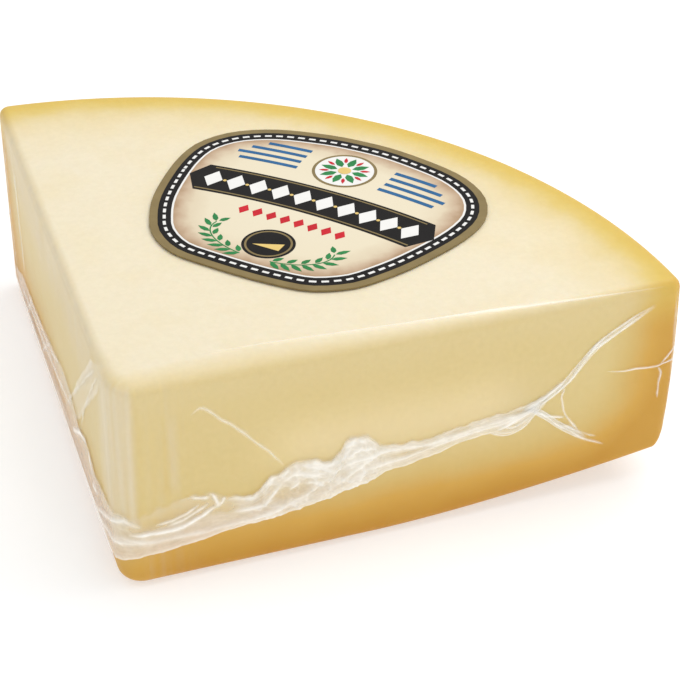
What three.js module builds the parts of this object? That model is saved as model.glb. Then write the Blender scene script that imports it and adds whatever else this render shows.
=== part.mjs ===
// A chunk of parmesan, sealed in clear film, with a sticker on its top face.
// The chunk is a quarter of a wheel, split level at half the wheel's height: the top face and both upright
// faces are cuts, and the curved back and the underside carry the rind. The film hugs it and gathers in
// folds low on the cuts. Millimetres, +Z up. The tip points to -X -Y and the front cut faces -Y. Plan angles
// are counted from the front cut to the left cut.
import * as THREE from "three";

const { clamp, degToRad, lerp, smoothstep } = THREE.MathUtils;

// Cheese
const wheelRadius = 156; // at the top cut
const chunkHeight = 65;
const wedgeAngle = degToRad(89);
const rindBulge = 1; // the back stands this far out at half height
const tipRadius = 7; // upright edge where the two cuts meet
const cornerRadius = 3.5; // upright edges where the cuts meet the rind
const topEdgeRadius = 3;
const cutFootRadius = 4; // lower edge of the cuts
const rimRadius = { front: 11, left: 4 }; // lower edge of the rind, at either end of the back

// The underside is flat and climbs towards the rim: far and high along the front cut, and little from the
// wedge's middle to the left cut.
const flatRadius = { front: 0.45 * wheelRadius, left: 0.9 * wheelRadius };
const rimRise = { front: 9, left: 2 };
const riseExponent = 1.65;
const frontShare = 0.5; // of the wedge's angle, over which the climb eases from the front's to the left's

// Film folds that stand proud of the cuts. Each runs along a bow from one end over its middle to the other:
// distance from the tip along the front, or along the left cut where negative, then height.
const folds = {
  leftGather: { path: [[-152, 8], [-75, 9], [0, 17]], halfWidth: 8, height: 1.8 },
  mainGather: { path: [[0, 18], [60, 24], [113, 32]], halfWidth: 7.5, height: 2.6 },
  upperBranch: { path: [[112, 33], [126, 41], [148, 59]], halfWidth: 3.5, height: 1.4 },
  lowerBranch: { path: [[112, 32], [124, 22], [137, 11]], halfWidth: 3.5, height: 1.2 },
  shortCrease: { path: [[20, 56], [34, 48], [44, 31]], halfWidth: 3, height: 0.7 },
  edgeCrease: { path: [[134, 40], [146, 38], [156, 38]], halfWidth: 3, height: 0.8 },
  leftCrease: { path: [[-137, 58], [-134, 40], [-133, 20]], halfWidth: 4, height: 0.8 },
};
const crinkleLength = 11; // along a fold
const crinkleDepth = 0.3; // share of the fold's height

// Sticker
const labelWidth = 92.7;
const labelHeight = 80.6;
const labelThickness = 0.4;
const labelGap = 0.3; // over the top face
const labelFoot = 59.8; // from the tip to the sticker's lower edge, along the wedge's middle line
const labelShift = 1.8; // off that line, towards the front cut
const labelTurn = degToRad(1); // clockwise about the tip
// Right half of the sticker's outline, from the top down: shares of half the width and of the height.
const labelHalfOutline = [
  [0, 1], [0.42, 0.963], [0.68, 0.91], [0.88, 0.82], [0.985, 0.7],
  [0.985, 0.56], [0.87, 0.335], [0.755, 0.194], [0.65, 0.098], [0.46, 0.02], [0.2, 0],
];

// Steps of the surfaces
const stepsAlong = { tip: 3, cut: 38, corner: 4, rind: 13 }; // for one half of the outline
const edgeSteps = 4;
const sideHeights = [8, 11, 14, 17, 20, 23, 26, 29, 32, 36, 40, 44, 48, 52, 56, 59.5];
const capInsets = [8, 18, 32, 48];
const labelSteps = 72;

const sharpest = 0.6; // a rounded edge never gets tighter than this as the outline shrinks
const middle = wedgeAngle / 2;

// Point at an angle and a distance from a centre.
function polar(centre, distance, angle) {
  return new THREE.Vector2(Math.cos(angle), Math.sin(angle)).multiplyScalar(distance).add(centre);
}

// The front half of the outline, shrunk inwards by inset. section says which stretch, t how far along it.
function frontHalf({ section, t }, inset) {
  const tipRound = Math.max(tipRadius - inset, sharpest);
  const cornerRound = Math.max(cornerRadius - inset, sharpest);
  const radius = wheelRadius - inset;
  const tipCentre = polar(new THREE.Vector2(), (inset + tipRound) / Math.sin(middle), middle);
  const cornerY = inset + cornerRound;
  const cornerCentre = new THREE.Vector2(Math.sqrt((radius - cornerRound) ** 2 - cornerY ** 2), cornerY);
  const rindStart = cornerCentre.angle();
  const down = -Math.PI / 2;
  if (section === "tip") {
    const angle = lerp(middle - Math.PI, down, t);
    return { point: polar(tipCentre, tipRound, angle), angle };
  }
  if (section === "cut") {
    return { point: new THREE.Vector2(lerp(tipCentre.x, cornerCentre.x, t), inset), angle: down };
  }
  if (section === "corner") {
    const angle = lerp(down, rindStart, t);
    return { point: polar(cornerCentre, cornerRound, angle), angle };
  }
  const angle = lerp(rindStart, middle, t);
  return { point: polar(new THREE.Vector2(), radius, angle), angle };
}

// Outline point and outward direction at a station. The left half mirrors the front half.
function outlineAt(station, inset) {
  const { point, angle } = frontHalf(station, inset);
  if (!station.mirrored) return { point, angle };
  const turned = polar(new THREE.Vector2(), point.length(), wedgeAngle - point.angle());
  return { point: turned, angle: wedgeAngle - angle };
}

// Stations once round the outline, counterclockwise from the tip: the front half, then the left half backwards.
function makeStations() {
  const half = [];
  for (const [section, steps] of Object.entries(stepsAlong)) {
    for (let i = 0; i < steps; i++) half.push({ section, t: i / steps });
  }
  const back = { section: "rind", t: 1 };
  const left = half.slice(1).reverse().map((station) => ({ ...station, mirrored: true }));
  return [...half, back, ...left];
}

// Share of the rind in a station's edges: none on the cuts, all on the back.
function rindShare({ section, t }) {
  if (section === "rind") return 1;
  return section === "corner" ? smoothstep(t, 0, 1) : 0;
}

// From 0 at the front cut to 1 at the left cut.
function turnShare(point) {
  return clamp(Math.atan2(point.y, point.x) / wedgeAngle, 0, 1);
}

function footRadiusAt(station) {
  const rim = lerp(rimRadius.front, rimRadius.left, turnShare(outlineAt(station, 0).point));
  return lerp(cutFootRadius, rim, rindShare(station));
}

// How far the underside has climbed above the floor.
function liftAt(point, height) {
  const leftward = smoothstep(turnShare(point), 0, frontShare);
  const flat = lerp(flatRadius.front, flatRadius.left, leftward);
  const climbed = clamp((point.length() - flat) / (wheelRadius - flat), 0, 1) ** riseExponent;
  const fade = (1 - height / chunkHeight) ** 2;
  return climbed * fade * lerp(rimRise.front, rimRise.left, leftward);
}

// A fold's ridge at a place on the cuts: round in section, tapered at both ends, crinkled along its length.
function ridge({ curve, halfWidth, height }, place) {
  const samples = 24;
  let nearest = Infinity;
  let share = 0;
  for (let i = 0; i <= samples; i++) {
    const distance = curve.getPoint(i / samples).distanceTo(place);
    if (distance < nearest) [nearest, share] = [distance, i / samples];
  }
  if (nearest > 3 * halfWidth) return 0;
  const crinkle = 1 - crinkleDepth * Math.sin((share * curve.getLength() * 2 * Math.PI) / crinkleLength) ** 2;
  const taper = Math.sin(Math.PI * clamp(share, 0.08, 0.92)) ** 0.4;
  return height * crinkle * taper * Math.exp(-((nearest / halfWidth) ** 2));
}

const foldCurves = Object.values(folds).map(({ path, ...sizes }) => ({
  ...sizes,
  curve: new THREE.QuadraticBezierCurve(...path.map(([along, height]) => new THREE.Vector2(along, height))),
}));

// How far the film stands out of the cuts. Where folds cross, the highest one counts.
function filmRelief(station, point, height) {
  if (station.section === "rind") return 0;
  const along = (station.mirrored ? -1 : 1) * point.length();
  const place = new THREE.Vector2(along, height);
  const edgeFade = smoothstep(height, 0, cutFootRadius) * smoothstep(chunkHeight - height, 0, topEdgeRadius);
  return edgeFade * (1 - rindShare(station)) * Math.max(...foldCurves.map((fold) => ridge(fold, place)));
}

// Profile of the solid from the underside to the top: each entry gives a station's inset and height.
function makeProfile() {
  const quarter = Math.PI / 2;
  const rounds = Array.from({ length: edgeSteps + 1 }, (_, i) => (i / edgeSteps) * quarter);
  const bottomCap = [...capInsets].reverse().map((inset) => (foot) => [inset + foot, 0]);
  const foot = rounds.map((a) => (radius) => [radius * (1 - Math.sin(a)), radius * (1 - Math.cos(a))]);
  const side = sideHeights.map((height) => (radius) => [0, Math.max(height, radius + height / 8)]);
  const top = rounds.map((a) => () => [
    topEdgeRadius * (1 - Math.cos(a)),
    chunkHeight - topEdgeRadius * (1 - Math.sin(a)),
  ]);
  const topCap = capInsets.map((inset) => () => [inset + topEdgeRadius, chunkHeight]);
  return [...bottomCap, ...foot, ...side, ...top, ...topCap];
}

// Where a station's surface point lies, with the rind's bulge, the rising underside and the film's folds.
function surfacePoint(station, [inset, height]) {
  const { point, angle } = outlineAt(station, inset);
  const bulge = rindBulge * Math.sin((Math.PI * height) / chunkHeight) * rindShare(station);
  const relief = inset < cutFootRadius ? filmRelief(station, point, height) : 0;
  const moved = polar(point, bulge + relief, angle);
  return new THREE.Vector3(moved.x, moved.y, height + liftAt(point, height));
}

// Closed surface over rings of equally many points. A point at the middle of each end lies level with the
// ring's first point.
function closedLoft(rings) {
  const count = rings[0].length;
  const centres = [rings[0], rings.at(-1)].map((ring) =>
    ring.reduce((sum, p) => sum.add(p), new THREE.Vector3()).divideScalar(count).setZ(ring[0].z),
  );
  const points = [...rings.flat(), ...centres];
  const [bottomCentre, topCentre] = [points.length - 2, points.length - 1];
  const faces = [];
  for (let i = 0; i < count; i++) {
    const next = (i + 1) % count;
    for (let ring = 0; ring + 1 < rings.length; ring++) {
      const [low, high] = [ring * count, (ring + 1) * count];
      faces.push(low + i, low + next, high + next, low + i, high + next, high + i);
    }
    const last = (rings.length - 1) * count;
    faces.push(bottomCentre, next, i, topCentre, last + i, last + next);
  }
  return new THREE.BufferGeometry().setFromPoints(points).setIndex(faces);
}

function sealedWedgeGeometry() {
  const stations = makeStations();
  const feet = stations.map(footRadiusAt);
  const rings = makeProfile().map((level) => stations.map((station, i) => surfacePoint(station, level(feet[i]))));
  return closedLoft(rings);
}

// The sticker's outline, with +Y along the wedge's middle line away from the tip.
function labelShape() {
  const right = labelHalfOutline.map(([x, y]) => [(x * labelWidth) / 2, y * labelHeight]);
  const left = right.slice(1).reverse().map(([x, y]) => [-x, y]);
  const corners = [...left, ...right].map(([x, y]) => new THREE.Vector3(x + labelShift, y + labelFoot, 0));
  const outline = new THREE.CatmullRomCurve3(corners, true, "centripetal");
  const ring = outline.getSpacedPoints(labelSteps).slice(0, -1);
  return new THREE.Shape(ring.map(({ x, y }) => new THREE.Vector2(x, y)));
}

function labelGeometry() {
  const plate = new THREE.ExtrudeGeometry(labelShape(), { depth: labelThickness, bevelEnabled: false });
  return plate.rotateZ(middle - Math.PI / 2 - labelTurn).translate(0, 0, chunkHeight + labelGap);
}

const wrappedCheese = new THREE.MeshStandardMaterial({ color: 0xe8d29a, roughness: 0.35, metalness: 0 });
const printedSticker = new THREE.MeshStandardMaterial({ color: 0x2b2a28, roughness: 0.4, metalness: 0 });

const sealedWedge = new THREE.Mesh(sealedWedgeGeometry(), wrappedCheese);
sealedWedge.name = "sealed_wedge";

const label = new THREE.Mesh(labelGeometry(), printedSticker);
label.name = "label";

// The origin lies under the middle of the chunk's box, on the floor.
sealedWedge.geometry.computeBoundingBox();
const boxCentre = sealedWedge.geometry.boundingBox.getCenter(new THREE.Vector3());

const chunk = new THREE.Group();
chunk.add(sealedWedge, label);
for (const piece of chunk.children) piece.position.set(-boxCentre.x, -boxCentre.y, 0);

export default chunk;
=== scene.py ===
import cmath
import math

import bpy
import numpy as np
from mathutils import Matrix, Vector
from mathutils.geometry import tessellate_polygon


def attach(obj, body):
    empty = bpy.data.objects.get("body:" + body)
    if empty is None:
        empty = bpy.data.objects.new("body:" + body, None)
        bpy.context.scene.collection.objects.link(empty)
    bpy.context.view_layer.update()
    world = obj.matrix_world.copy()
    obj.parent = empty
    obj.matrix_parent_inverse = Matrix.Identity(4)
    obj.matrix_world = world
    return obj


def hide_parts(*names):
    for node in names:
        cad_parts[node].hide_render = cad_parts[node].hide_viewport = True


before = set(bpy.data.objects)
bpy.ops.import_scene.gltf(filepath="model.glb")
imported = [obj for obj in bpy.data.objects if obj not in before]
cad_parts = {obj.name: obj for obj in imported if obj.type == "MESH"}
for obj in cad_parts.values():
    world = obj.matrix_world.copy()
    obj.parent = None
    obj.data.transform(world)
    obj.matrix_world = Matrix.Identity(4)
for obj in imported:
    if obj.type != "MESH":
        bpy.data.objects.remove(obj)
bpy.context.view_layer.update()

MM = 0.001

# The wedge, as in the CAD
WHEEL_RADIUS = 156.0
CHUNK_HEIGHT = 65.0
WEDGE_ANGLE = math.radians(89.0)
MIDDLE = WEDGE_ANGLE / 2
RIND_BULGE = 1.0
TIP_RADIUS = 7.0
CORNER_RADIUS = 3.5
TOP_EDGE_RADIUS = 3.0
CUT_FOOT_RADIUS = 4.0
FRONT_RIM_RADIUS = 11.0
LEFT_RIM_RADIUS = 4.0
FRONT_FLAT_RADIUS = 0.45 * WHEEL_RADIUS
LEFT_FLAT_RADIUS = 0.9 * WHEEL_RADIUS
FRONT_RIM_RISE = 9.0
LEFT_RIM_RISE = 2.0
RISE_EXPONENT = 1.65
FRONT_SHARE = 0.5
SHARPEST = 0.6
TIP_PLACE = complex(-78.034, -77.189)

# Layers, outwards of the CAD's surface
CHEESE_OUT = -0.3
SKIN_OUT = 0.0

# Stations round one half of the outline
HALF_STEPS = {"tip": 9, "cut": 170, "corner": 10, "rind": 118}


# Numbers


def smoothstep(low, high, x):
    t = np.clip((np.asarray(x, float) - low) / (high - low), 0.0, 1.0)
    return t * t * (3.0 - 2.0 * t)


def mix(a, b, t):
    return a + (b - a) * t


def bell(x, width):
    return np.exp(-((np.asarray(x, float) / width) ** 2))


def lattice_slope(ix, iy, seed):
    """Seeded random direction for a noise lattice point."""
    raw = np.sin(ix * 127.1 + iy * 311.7 + seed * 74.7) * 43758.5453
    return np.exp(2j * np.pi * (raw - np.floor(raw)))


def noise(x, y, seed):
    """Smooth noise, about -1 to 1, with features one unit long."""
    ix, iy = np.floor(x), np.floor(y)
    fx, fy = x - ix, y - iy
    ux = fx * fx * fx * (fx * (fx * 6 - 15) + 10)
    uy = fy * fy * fy * (fy * (fy * 6 - 15) + 10)

    def corner(dx, dy):
        slope = lattice_slope(ix + dx, iy + dy, seed)
        return slope.real * (fx - dx) + slope.imag * (fy - dy)

    low = mix(corner(0, 0), corner(1, 0), ux)
    high = mix(corner(0, 1), corner(1, 1), ux)
    return 1.5 * mix(low, high, uy)


def creased_noise(x, y, seed, octaves=3):
    """Noise with sharp ridges, 0 to 1, like crumpled film."""
    total, share, size = 0.0, 0.0, 1.0
    for octave in range(octaves):
        ridge = 1.0 - np.abs(noise(x * size, y * size, seed + octave))
        total = total + ridge**2 / size
        share += 1.0 / size
        size *= 1.9
    return total / share


def distance_to_line(place, line):
    """Distance from each place to a polyline, and how far along the line the nearest point lies."""
    lengths = np.abs(np.diff(line))
    starts = np.concatenate([[0.0], np.cumsum(lengths)])
    nearest = np.full(place.shape, np.inf)
    reached = np.zeros(place.shape)
    for start, end, length, before in zip(line[:-1], line[1:], lengths, starts):
        step = (end - start) / length
        t = np.clip(((place - start) * np.conj(step)).real, 0.0, length)
        gap = np.abs(place - (start + t * step))
        closer = gap < nearest
        nearest = np.where(closer, gap, nearest)
        reached = np.where(closer, (before + t) / starts[-1], reached)
    return nearest, reached


# The wedge's surface


def make_stations():
    """Stations once round the outline, counterclockwise from the tip."""
    half = [(s, i / n) for s, n in enumerate(HALF_STEPS.values()) for i in range(n)]
    back = [(3, 1.0)]
    section, t = np.array(half + back + half[:0:-1]).T
    mirrored = np.arange(len(section)) > len(half)
    return section, t, mirrored


SECTION, T, MIRRORED = make_stations()


def outline(inset):
    """Outline points and outward angles at all stations, shrunk inwards by inset."""
    inset = np.broadcast_to(np.asarray(inset, float), SECTION.shape)
    tip_round = np.maximum(TIP_RADIUS - inset, SHARPEST)
    corner_round = np.maximum(CORNER_RADIUS - inset, SHARPEST)
    radius = WHEEL_RADIUS - inset
    tip_centre = (inset + tip_round) / math.sin(MIDDLE) * cmath.exp(1j * MIDDLE)
    corner_y = inset + corner_round
    corner_centre = np.sqrt((radius - corner_round) ** 2 - corner_y**2) + 1j * corner_y
    rind_start = np.angle(corner_centre)
    down = -math.pi / 2
    on_tip, on_cut, on_corner = SECTION == 0, SECTION == 1, SECTION == 2
    angle = np.select(
        [on_tip, on_cut, on_corner],
        [mix(MIDDLE - math.pi, down, T), down + 0.0 * T, mix(down, rind_start, T)],
        mix(rind_start, MIDDLE, T),
    )
    point = np.select(
        [on_tip, on_cut, on_corner],
        [
            tip_centre + tip_round * np.exp(1j * angle),
            mix(tip_centre.real, corner_centre.real, T) + 1j * inset,
            corner_centre + corner_round * np.exp(1j * angle),
        ],
        radius * np.exp(1j * angle),
    )
    point = np.where(MIRRORED, np.conj(point) * cmath.exp(1j * WEDGE_ANGLE), point)
    angle = np.where(MIRRORED, WEDGE_ANGLE - angle, angle)
    return point, angle


def rind_share_of_stations():
    return np.select([SECTION == 3, SECTION == 2], [np.ones(T.shape), smoothstep(0, 1, T)], 0.0)


def turn_share(point):
    """From 0 at the front cut to 1 at the left cut."""
    return np.clip(np.angle(point) / WEDGE_ANGLE, 0.0, 1.0)


def lift_at(point, height):
    """How far the underside has climbed above the floor."""
    leftward = smoothstep(0, FRONT_SHARE, turn_share(point))
    flat = mix(FRONT_FLAT_RADIUS, LEFT_FLAT_RADIUS, leftward)
    climbed = np.clip((np.abs(point) - flat) / (WHEEL_RADIUS - flat), 0, 1) ** RISE_EXPONENT
    fade = (1 - height / CHUNK_HEIGHT) ** 2
    return climbed * fade * mix(FRONT_RIM_RISE, LEFT_RIM_RISE, leftward)


NOMINAL, OUTWARD = outline(0.0)
RIND_SHARE = rind_share_of_stations()
RIM_RADIUS = mix(FRONT_RIM_RADIUS, LEFT_RIM_RADIUS, turn_share(NOMINAL))
FOOT_RADIUS = mix(CUT_FOOT_RADIUS, RIM_RADIUS, RIND_SHARE)


def along_of_stations():
    """Distance of each station from the sharp tip: positive on the front, negative on the left cut."""
    steps = np.abs(np.diff(NOMINAL))
    walked = np.concatenate([[0.0], np.cumsum(steps)])
    tip_walk = TIP_RADIUS * (math.pi - WEDGE_ANGLE) / 2
    tip_along = TIP_RADIUS / math.tan(MIDDLE)
    total = walked[-1] + abs(NOMINAL[-1] - NOMINAL[0])
    signed = np.where(MIRRORED, walked - total, walked)
    near = np.abs(signed) < tip_walk
    beyond = signed + np.sign(signed) * (tip_along - tip_walk)
    return np.where(near, signed * tip_along / tip_walk, beyond)


ALONG = along_of_stations()
ORDER = np.argsort(ALONG)
TABLE_ALONG = ALONG[ORDER]
TABLE_POINT = NOMINAL[ORDER]
TABLE_ANGLE = np.where(MIRRORED, OUTWARD - 2 * math.pi, OUTWARD)[ORDER]
TABLE_FOOT = FOOT_RADIUS[ORDER]
TABLE_RIND = RIND_SHARE[ORDER]

# The top edge is rounded like a quarter of an ellipse: its width on the top at each distance along.
TOP_EDGE_WIDTHS = [
    (-20, 3.0), (-6, 5.0), (4, 7.0), (18, 7.8), (30, 7.6), (43, 7.2), (60, 5.9), (77, 4.7), (94, 3.9),
    (111, 3.3), (130, 3.0),
]
TOP_WIDTH = np.interp(ALONG, *np.array(TOP_EDGE_WIDTHS).T)
FRONT_TOP_DROP = 1.2
ON_FRONT = smoothstep(-6, 10, ALONG) * (1 - RIND_SHARE) * ~MIRRORED
TOP_DROP = TOP_EDGE_RADIUS + FRONT_TOP_DROP * ON_FRONT
TABLE_WIDTH = TOP_WIDTH[ORDER]
TABLE_DROP = TOP_DROP[ORDER]


def from_table(along, table):
    """The value at each distance along the outline."""
    return np.interp(along, TABLE_ALONG, table)


def on_side(along, height, out):
    """Points on the upright sides and their rounded edges, as (x, y, z) rows. Heights above the chunk's
    own go on inwards over the top."""
    along, height, out = np.broadcast_arrays(along, height, out)
    point = from_table(along, TABLE_POINT.real) + 1j * from_table(along, TABLE_POINT.imag)
    angle = from_table(along, TABLE_ANGLE)
    foot = from_table(along, TABLE_FOOT)
    rind = from_table(along, TABLE_RIND)
    into_foot = np.clip((foot - height) / foot, 0, 1)
    width = from_table(along, TABLE_WIDTH)
    drop = from_table(along, TABLE_DROP)
    into_top = np.clip((height - CHUNK_HEIGHT + drop) / drop, 0, 1)
    upright = np.sqrt(1 - into_top**2)
    over = np.maximum(height - CHUNK_HEIGHT, 0)
    height = np.minimum(height, CHUNK_HEIGHT)
    inset = foot * (1 - np.sqrt(1 - into_foot**2)) + width * (1 - upright) + over
    slope = np.arctan2(width * into_top, drop * upright) - np.arcsin(into_foot)
    bulge = RIND_BULGE * np.sin(math.pi * np.clip(height, 0, CHUNK_HEIGHT) / CHUNK_HEIGHT) * rind
    moved = point + (bulge - inset + out * np.cos(slope)) * np.exp(1j * angle)
    z = height + lift_at(point, height) + out * np.sin(slope)
    return np.stack([moved.real, moved.imag, z], -1)


CAP_INSETS = np.concatenate([[0.6, 1.3, 2.2], np.linspace(3.5, 45, 30), [50, 55, 60]])
DEEPEST_INSET = 62.0
EDGE_ANGLES = np.linspace(0, math.pi / 2, 9)
TOP_ANGLES = np.linspace(0, math.pi / 2, 14)
SIDE_STEPS = 62


def make_levels():
    """Profile from the underside to the top: inset, height and slope at each level and station."""
    ones = np.ones(SECTION.shape)
    inwards = CAP_INSETS[::-1] / CAP_INSETS[-1]
    levels = [(mix(FOOT_RADIUS, DEEPEST_INSET, share), 0 * ones, -math.pi / 2) for share in inwards]
    for a in EDGE_ANGLES:
        levels.append((FOOT_RADIUS * (1 - math.sin(a)), FOOT_RADIUS * (1 - math.cos(a)), a - math.pi / 2))
    for share in np.linspace(0, 1, SIDE_STEPS + 1)[1:-1]:
        levels.append((0 * ones, mix(FOOT_RADIUS, CHUNK_HEIGHT - TOP_DROP, share), 0.0))
    for a in TOP_ANGLES:
        slope = np.arctan2(TOP_WIDTH * math.sin(a), TOP_DROP * math.cos(a))
        levels.append((TOP_WIDTH * (1 - math.cos(a)), CHUNK_HEIGHT - TOP_DROP * (1 - math.sin(a)), slope))
    for share in inwards[::-1]:
        levels.append((mix(TOP_WIDTH, DEEPEST_INSET, share), CHUNK_HEIGHT * ones, math.pi / 2))
    insets = np.array([level[0] for level in levels])
    heights = np.array([level[1] for level in levels])
    slopes = np.array([level[2] * ones for level in levels])
    return insets, heights, slopes


INSETS, HEIGHTS, SLOPES = make_levels()
LEVELS = [outline(inset) for inset in INSETS]
LEVEL_POINTS = np.array([point for point, _ in LEVELS])
LEVEL_ANGLES = np.array([angle for _, angle in LEVELS])


def shell_points(out):
    """Vertices of the whole wedge, moved outwards by out, as levels of stations."""
    bulge = RIND_BULGE * np.sin(math.pi * HEIGHTS / CHUNK_HEIGHT) * RIND_SHARE
    moved = LEVEL_POINTS + (bulge + out * np.cos(SLOPES)) * np.exp(1j * LEVEL_ANGLES)
    z = HEIGHTS + out * np.sin(SLOPES) + lift_at(LEVEL_POINTS, HEIGHTS)
    return np.stack([moved.real, moved.imag, z], -1)


# Meshes


def new_object(name, data):
    made = bpy.data.objects.new(name, data)
    bpy.context.scene.collection.objects.link(made)
    return made


def make_mesh(name, points, faces, material, values=None, smooth=True):
    """A piece from points in millimetres of the wedge's plan. values holds numbers for each point."""
    points = np.asarray(points, float).reshape(-1, 3) + (TIP_PLACE.real, TIP_PLACE.imag, 0.0)
    mesh = bpy.data.meshes.new(name)
    mesh.from_pydata((points * MM).tolist(), [], faces)
    for key, numbers in (values or {}).items():
        layer = mesh.attributes.new(key, "FLOAT", "POINT")
        layer.data.foreach_set("value", np.asarray(numbers, np.float32).ravel())
    mesh.polygons.foreach_set("use_smooth", [smooth] * len(mesh.polygons))
    mesh.materials.append(material)
    mesh.update()
    return new_object(name, mesh)


def grid_faces(rows, columns, closed_columns=False):
    """Quads of a grid of points, facing out where columns run rightwards and rows upwards."""
    faces = []
    for row in range(rows - 1):
        low, high = row * columns, (row + 1) * columns
        for i in range(columns if closed_columns else columns - 1):
            j = (i + 1) % columns
            faces.append((low + i, low + j, high + j, high + i))
    return faces


def capped_faces(rows, columns):
    """Faces of a closed wall of points with a fan on its foot and its top. The middle points of the fans
    follow the wall's own, the foot's first."""
    faces = grid_faces(rows, columns, closed_columns=True)
    foot, top, last = rows * columns, rows * columns + 1, (rows - 1) * columns
    for i in range(columns):
        j = (i + 1) % columns
        faces += [(foot, j, i), (top, last + i, last + j)]
    return faces


def shifted(faces, start):
    """The same faces for points that begin at start."""
    return [tuple(start + k for k in face) for face in faces]


def at_height(plan, z):
    """Plan points as (x, y, z) rows at one height."""
    return np.stack([plan.real, plan.imag, np.full(len(plan), z)], -1)


def wedge_mesh(name, out, material, values):
    """The closed wedge at a distance out of the CAD's surface."""
    points = shell_points(out)
    levels, count = points.shape[:2]
    centres = [points[0].mean(0), points[-1].mean(0)]
    centres[0][2], centres[1][2] = points[0, 0, 2], points[-1, 0, 2]
    all_points = np.concatenate([points.reshape(-1, 3), centres])
    full = {key: np.concatenate([v.ravel(), [v[0].mean(), v[-1].mean()]]) for key, v in values.items()}
    return make_mesh(name, all_points, capped_faces(levels, count), material, full)


# Materials


def new_material(name):
    material = bpy.data.materials.new(name)
    material.use_nodes = True
    tree = material.node_tree
    shader = tree.nodes["Principled BSDF"]
    return material, tree, shader


def fill_inputs(tree, node, inputs):
    """Links a socket or sets a plain value for each input, by name or number."""
    for key, value in inputs.items():
        if isinstance(value, bpy.types.NodeSocket):
            tree.links.new(value, node.inputs[key])
        else:
            node.inputs[key].default_value = value


def add_node(tree, kind, inputs=None, **settings):
    made = tree.nodes.new(kind)
    for key, value in settings.items():
        setattr(made, key, value)
    fill_inputs(tree, made, inputs or {})
    return made


def math_node(tree, operation, first, second=0.0, clamp=False):
    made = add_node(tree, "ShaderNodeMath", {0: first, 1: second}, operation=operation, use_clamp=clamp)
    return made.outputs[0]


def attribute(tree, name):
    return add_node(tree, "ShaderNodeAttribute", attribute_name=name).outputs["Fac"]


def object_coordinates(tree, scale=(1.0, 1.0, 1.0)):
    place = add_node(tree, "ShaderNodeTexCoord").outputs["Object"]
    return add_node(tree, "ShaderNodeMapping", {"Vector": place, "Scale": scale}).outputs["Vector"]


def noise_node(tree, place, size, detail=3.0, roughness=0.5):
    """Noise with features of the given size in millimetres."""
    inputs = {"Vector": place, "Scale": 1.0 / (size * MM), "Detail": detail, "Roughness": roughness}
    return add_node(tree, "ShaderNodeTexNoise", inputs).outputs["Fac"]


def ramp_node(tree, factor, stops):
    """Colours along a factor; each stop is a position and a linear colour."""
    made = add_node(tree, "ShaderNodeValToRGB", {"Fac": factor})
    elements = made.color_ramp.elements
    while len(elements) < len(stops):
        elements.new(1.0)
    for element, (position, colour) in zip(elements, stops):
        element.position = position
        element.color = (*colour, 1.0)
    return made.outputs["Color"]


def mix_colours(tree, factor, first, second, blend="MIX"):
    made = add_node(tree, "ShaderNodeMix", data_type="RGBA", blend_type=blend)
    fill_inputs(tree, made, {0: factor, 6: first, 7: second})
    return made.outputs[2]


def bump_node(tree, height, strength, distance):
    inputs = {"Height": height, "Strength": strength, "Distance": distance * MM}
    return add_node(tree, "ShaderNodeBump", inputs).outputs["Normal"]


# Linear colours of the cheese by how near the crust is, from pure paste at 0
CUT_COLOURS = [
    (0.0, (0.772, 0.615, 0.286)),
    (0.12, (0.763, 0.60, 0.262)),
    (0.35, (0.722, 0.515, 0.175)),
    (0.6, (0.70, 0.405, 0.072)),
    (0.85, (0.615, 0.32, 0.036)),
    (1.0, (0.565, 0.262, 0.02)),
]
TOP_COLOURS = [
    (0.0, (0.885, 0.79, 0.585)),
    (0.10, (0.87, 0.755, 0.51)),
    (0.22, (0.85, 0.715, 0.435)),
    (0.31, (0.815, 0.665, 0.34)),
    (0.42, (0.78, 0.59, 0.19)),
    (0.52, (0.755, 0.54, 0.12)),
    (1.0, (0.68, 0.43, 0.06)),
]
# The rind's tones from dark to light
RIND_COLOURS = [
    (0.30, (0.55, 0.295, 0.07)),
    (0.44, (0.63, 0.365, 0.098)),
    (0.53, (0.68, 0.42, 0.125)),
    (0.68, (0.74, 0.49, 0.165)),
]
GLOW_COLOUR = (0.88, 0.71, 0.36, 1.0)
RIND_EDGE_COLOUR = (0.52, 0.27, 0.06, 1.0)
GRAIN_COLOURS = [(0.3, (0.955, 0.95, 0.93)), (0.7, (1.0, 1.0, 1.0))]
PATCH_SIZE = 30.0
PRESS_SIZE = 9.0
CLOUD_SIZE = 16.0
SPECK_SIZE = 1.6
CLOTH_MESH = 1.4


def paste_colour(tree, cloud):
    """The cut paste and the paler top, each by its nearness to the crust."""
    drift = math_node(tree, "MULTIPLY", math_node(tree, "SUBTRACT", cloud, 0.5), 0.22)
    crust = math_node(tree, "ADD", attribute(tree, "crust"), drift, clamp=True)
    cut = ramp_node(tree, crust, CUT_COLOURS)
    cut = mix_colours(tree, attribute(tree, "glow"), cut, GLOW_COLOUR)
    top = ramp_node(tree, crust, TOP_COLOURS)
    return mix_colours(tree, attribute(tree, "upward"), cut, top)


def rind_colour(tree, place, press):
    """Pressed, patchy rind that darkens towards its lower and upper edge."""
    patch = noise_node(tree, place, PATCH_SIZE, 2.0)
    half_press = math_node(tree, "MULTIPLY", press, 0.5)
    half_patch = math_node(tree, "MULTIPLY", patch, 0.5)
    tone = math_node(tree, "ADD", half_press, half_patch)
    rind = ramp_node(tree, tone, RIND_COLOURS)
    return mix_colours(tree, attribute(tree, "edge"), rind, RIND_EDGE_COLOUR)


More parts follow.
